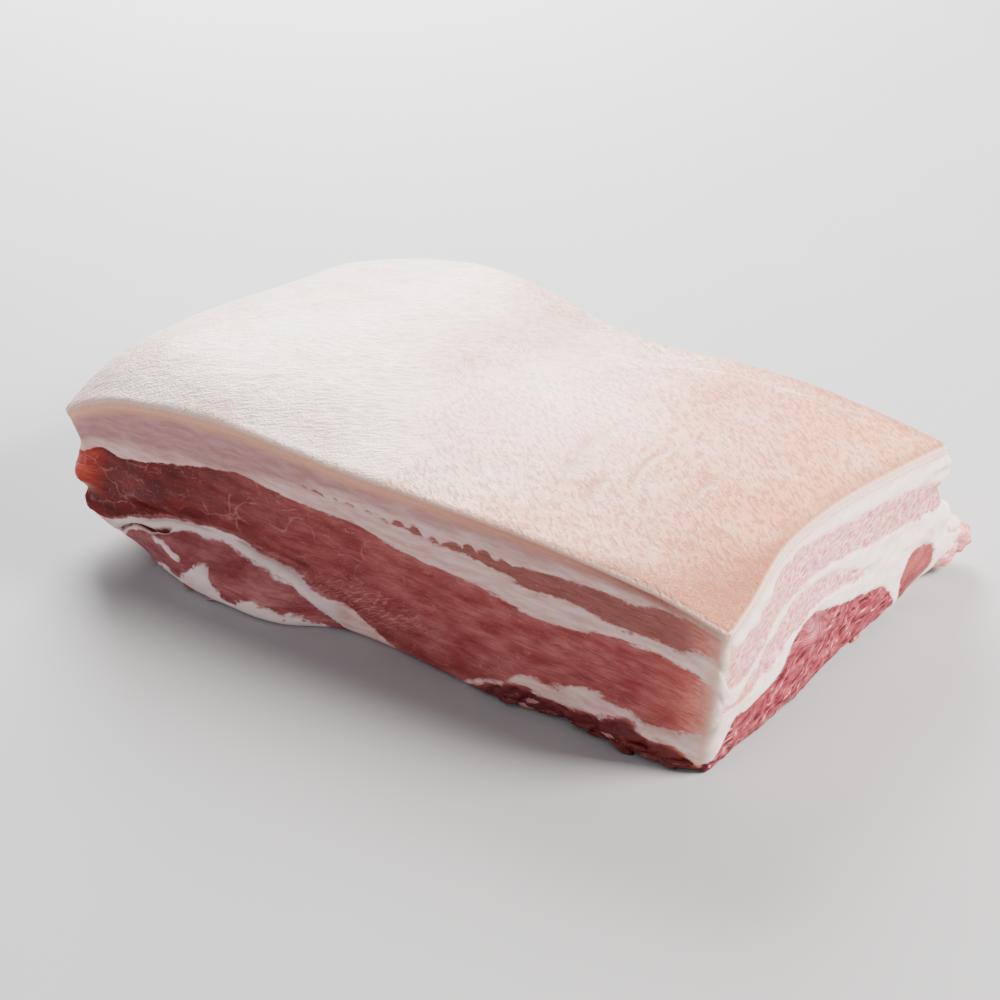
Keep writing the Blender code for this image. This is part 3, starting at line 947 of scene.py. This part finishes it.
SKIN_SOCKETS = ("Specular IOR Level", "Subsurface Weight", "Subsurface Radius",
                "Subsurface Scale", "Coat Weight", "Coat Roughness")
FLESH_SKIN = (0.2, 0.14, (1, 0.4, 0.3), 1 * MM, 0.03, 0.25)
RIND_SKIN = (0.4, 0.12, (1, 0.6, 0.45), 0.8 * MM, 0.15, 0.22)


def edge_colour(look, below):
    """The slab's edge under the skin: a tan band that fades into what lies below it."""
    wobble = look.shift(look.noise((9, 9, 3)), 1.6)
    under = look.math("ADD", "under", wobble)
    band = look.mix(look.noise((8, 8, 1.5), 4, 0.6), *EDGE_BAND)
    band = look.mix("brown", band, EDGE_DARK)
    amount = look.times(look.ease(under, 1.8, 5.6, 1, 0), "tan")
    return look.mix(amount, below, band)


def marbling(look, grain):
    """Thin walls between the bundles of lean, and short fine veins along the fibres."""
    wall = look.ease(look.web(13, 0.75), 0, 0.034, 1, 0)
    patchy = look.ease(look.noise((9, 9, 9), 3, 0.7), 0.4, 0.58)
    wall = look.times(look.times(wall, patchy), "web")
    vein = look.noise((9, 1.6, 1), 4, 0.6, 0.5, spot=grain)
    vein = look.ease(look.math("ABSOLUTE", look.math("SUBTRACT", vein, 0.5)), 0.004, 0.02, 1, 0)
    some = look.ease(look.noise((6, 6, 4)), 0.52, 0.68)
    return look.math("MAXIMUM", look.times(wall, 0.28), look.times(look.times(vein, some), 0.32))


def lean_colour(look, grain, fibres, strand, coarse):
    """The lean: cloudy reds along the slab, then each part's own colours over them."""
    mix, times = look.mix, look.times
    cloud = look.ease(look.noise((13, 4, 1), 4, 0.6, spot=grain), 0.3, 0.7)
    red = mix(look.ease("tone", 0, 0.5), mix(cloud, *LEAN_DARK), mix(cloud, *LEAN_MIDDLE))
    # Painted glow: towards the front right corner the lean turns salmon, partly its own colour and
    # partly light shining through
    red = mix(look.ease("tone", 0.5, 1), red, mix(cloud, *LEAN_BRIGHT_AND_GLOW))
    brown = mix(look.noise((4, 4, 1.5), 4), *LEAN_UPPER)
    upper = times("upper", look.ease("tone", 0.62, 1, 0.85, 0.1))
    red = mix(upper, red, brown)
    red = mix(times("flap", 0.6), red, mix(cloud, *LEAN_FLAP))
    red = mix("lip", red, mix(cloud, *LEAN_END))
    red = mix(look.ease(fibres, 0.35, 0.6, 0.45, 0), red, FIBRE_SHADE, "MULTIPLY")
    # Painted glints: fine light specks standing in for wet highlights on the lean
    glint = look.noise((0.9, 0.9, 0.7), 2, 0.6)
    red = mix(look.ease(glint, 0.64, 0.75, 0, 0.18), red, PAINTED_GLINT)
    hair = look.noise((3.2, 0.5, 1), 3, 0.6, 0.6, way=28, spot=grain)
    hair = times(look.ease(hair, 0.5, 0.62), "haze")
    red = mix(times(hair, 0.55), red, HAIR)
    # The right face's pale lean, partly painted light of that lit side
    pale_lit = look.noise((2.6, 0.7, 1), 4, 0.7, spot=grain)
    pale_lit = mix(look.ease(pale_lit, 0.41, 0.59), *LEAN_PALE_AND_LIT)
    red = mix(times("pale", 0.96), red, pale_lit)
    meat = mix(look.ease(strand, 0.36, 0.54), *LEAN_COARSE)
    meat = mix(look.ease(strand, 0.57, 0.7), meat, STRAND_PALE)
    meat = mix(times("whorl", 0.4), meat, WHORL_PALE)
    red = mix(coarse, red, meat)
    # Painted shade: the ragged meat along the bottom, darkened as if in deep shadow
    ragged = mix(look.noise((2, 2, 1.5), 3, 0.6), *LEAN_RAGGED_SHADED)
    red = mix(times("deep_lean", 0.85), red, ragged)
    return mix(marbling(look, grain), red, MARBLE)


def fat_colour(look, grain):
    """The fat: a dull cap, a pale seam, and cream at the right. The pale fat over the flap and the
    cream at the right are their own colours brightened with painted light.
    """
    cloud = look.ease(look.noise((8, 1.6, 1), 4, 0.6, spot=grain), 0.3, 0.7)
    # Over the flap the seam's fat is brightened with painted light
    seam = look.mix(look.times("flap", 0.85), look.mix(cloud, *FAT_SEAM), FAT_FLAP_PALE_AND_LIT)
    fat = look.mix("cap", seam, look.mix(cloud, *FAT_CAP))
    return look.mix("cream", fat, look.mix(cloud, *FAT_RIGHT_PALE_AND_LIT))


def flesh_material():
    """Layers of lean and fat: edges broken by noise, fibres and marbling in the lean."""
    look = Nodes("layered flesh")
    grain = look.join("grain_a", "grain_b", 0)
    fray = look.math("ADD", look.shift(look.noise((1.5, 1.5, 0.9), 4, 0.6), 0.8),
                     look.shift(look.noise((7, 7, 1.8), 4, 0.6), 1.6))
    lean_mask = look.ease(look.math("ADD", "lean", fray), -0.22, 0.28)
    coarse = look.ease(look.math("ADD", "coarse", fray), -0.2, 0.4)
    fibres = look.noise((7, 0.7, 1), 4, 0.65, spot=grain)
    strand = look.noise((5, 0.95, 1), 4, 0.62, 0.35, spot=grain)
    colour = look.mix(lean_mask, fat_colour(look, grain),
                      lean_colour(look, grain, fibres, strand, coarse))
    corner = look.mix("right", *FAT_CORNER)
    colour = look.mix(look.times("corner", 0.85), colour, corner)
    # Painted shade in the gap over the flap's left end
    colour = look.mix(look.ease("gap", 0.25, 0.8), colour, GAP_PAINTED_SHADE)
    roughness = look.ease(look.noise((3, 3, 2)), 0.3, 0.7, 0.36, 0.55)
    height = look.math("ADD", look.times(fibres, lean_mask), look.noise((0.9, 0.9, 0.6)))
    height = look.math("ADD", height, look.times(strand, look.times(coarse, 2.5)))
    return look.finish(edge_colour(look, colour), roughness, height, 0.12, 0.7, FLESH_SKIN)


def rind_material():
    """Pale skin, pink at the left with painted sheen lightening it, and warmer to the right, over a
    tan band at its cut edge.
    """
    look = Nodes("pale rind")
    mix, times = look.mix, look.times
    cloud = look.ease(look.noise((30, 22, 20), 4, 0.6), 0.35, 0.65)
    colour = mix("warm", mix(cloud, *SKIN_COOL_AND_SHEEN), mix(cloud, *SKIN_WARM))
    blush = look.ease(look.noise((18, 11, 20), 3, 0.6), 0.48, 0.7, 0, 0.6)
    colour = mix(blush, colour, SKIN_BLUSH)
    bent = look.math("ADD", "warm", look.shift(look.noise((25,) * 3), 0.5))
    left_lines = look.noise((3.4, 0.95, 3), 3, 0.6, 0.25, way=SKIN_WAYS[0])
    right_lines = look.noise((3, 1.05, 3), 3, 0.6, 0.25, way=SKIN_WAYS[1])
    share = look.ease(bent, 0.3, 0.6)
    lines = look.math("ADD", times(right_lines, share),
                      times(left_lines, look.math("SUBTRACT", 1, share)))
    # Painted shade: the skin is darkened along the low lines of its wrinkles
    groove = times(look.ease(lines, 0.4, 0.55, 1, 0), look.math("MULTIPLY_ADD", share, 0.35, 0.45))
    colour = mix(groove, colour, SKIN_GROOVE_SHADE, "MULTIPLY")
    # Tan in the dents, deepened with painted shade in the hollows
    colour = mix(look.ease("dents", 0, 0.7, 0, 0.85), colour, SKIN_DENT_TAN_AND_SHADE)
    colour = mix(look.ease("creases", 0.3, 1, 0, 0.5), colour, SKIN_CREASE)
    colour = mix(look.ease("edge", 0, 0.85, 0, 0.9), colour, SKIN_TAN)
    depth = look.math("ADD", "under", look.shift(look.noise((5, 5, 2)), 0.5))
    side = edge_colour(look, mix(look.noise((5, 5, 2)), *SKIN_SIDE))
    colour = mix(look.ease(depth, 0.5, 1.3), colour, side)
    # The rounded rim: its cream, brightened with a painted highlight
    lip = times(look.ease("under", 0, 0.5), look.ease(depth, 0.7, 1.4, 1, 0))
    colour = mix(times(lip, 0.85), colour, SKIN_LIP_CREAM_AND_HIGHLIGHT)
    roughness = look.ease(lines, 0.3, 0.7, 0.48, 0.34)
    height = look.math("ADD", times(lines, 1.6), look.noise((0.8, 0.6, 0.8), 3, 0.6))
    return look.finish(colour, roughness, height, 0.5, 1, RIND_SKIN)


# ---- the stage

AIM = Vector((0.0046, -0.0112, 0.0224))
LOOK_TURN = math.radians(35.06)
LOOK_UP = math.radians(28.9)
LOOK_FROM = 0.6755
LENS_LENGTH = 86.4
NEAR_CLIP = 0.01
FLOOR_HALF = 3
FLOOR_ROUGHNESS = 0.7
SKY_COLOUR = (0.95, 0.96, 1, 1)
SKY_STRENGTH = 0.42
LAMP_AIM = (0, 0, 0.03)
# Square area lights: name, place and size in metres, power in watts, and colour
LAMPS = (("key light", (0.8, 0.38, 0.72), 0.4, 39, (1, 0.95, 0.89)),
         ("back light", (-0.66, 0.72, 0.52), 0.6, 48, (1, 0.98, 0.97)),
         ("front light", (-0.35, -0.9, 0.35), 0.5, 1.2, (1, 0.97, 0.95)))


def stand(name, data, place_at, aim=None):
    """Puts a lamp, a camera or a mesh in the scene, facing a place if one is given."""
    thing = bpy.data.objects.new(name, data)
    bpy.context.scene.collection.objects.link(thing)
    thing.location = place_at
    if aim is not None:
        way = Vector(aim) - thing.location
        thing.rotation_euler = way.to_track_quat("-Z", "Y").to_euler()
    return thing


def make_stage():
    """A pale floor, soft light, and the camera at the looked-from place."""
    mesh = bpy.data.meshes.new("floor")
    corners = [(-1, -1), (1, -1), (1, 1), (-1, 1)]
    mesh.from_pydata([(x * FLOOR_HALF, y * FLOOR_HALF, 0) for x, y in corners], [], [(0, 1, 2, 3)])
    look = Nodes("plain floor")
    grey = look.mix(look.noise((60, 60, 60)), *FLOOR_GREY)
    look.fill(look.skin, {"Base Color": grey, "Roughness": FLOOR_ROUGHNESS})
    mesh.materials.append(look.material)
    floor = stand("floor", mesh, (0, 0, 0))

    world = bpy.data.worlds.new("soft world")
    world.use_nodes = True
    sky = world.node_tree.nodes["Background"]
    sky.inputs["Color"].default_value = SKY_COLOUR
    sky.inputs["Strength"].default_value = SKY_STRENGTH
    bpy.context.scene.world = world
    for name, place_at, size, power, colour in LAMPS:
        lamp = bpy.data.lights.new(name, "AREA")
        lamp.size = size
        lamp.energy = power
        lamp.color = colour
        stand(name, lamp, place_at, LAMP_AIM)

    lens = bpy.data.cameras.new("camera")
    lens.lens = LENS_LENGTH
    lens.clip_start = NEAR_CLIP
    flat = math.cos(LOOK_UP) * LOOK_FROM
    place_at = AIM + Vector((math.sin(LOOK_TURN) * flat, -math.cos(LOOK_TURN) * flat,
                             math.sin(LOOK_UP) * LOOK_FROM))
    bpy.context.scene.camera = stand("camera", lens, place_at, AIM)


flesh_look = flesh_material()
rind = make_rind(rind_material())
flesh = make_flesh(flesh_look)
shreds = make_shreds(flesh_look)
for piece, slot in ((rind, "rind"), (flesh, "lean"), (shreds, "lean")):
    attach(piece, "root")
    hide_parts("pork_belly")
make_stage()
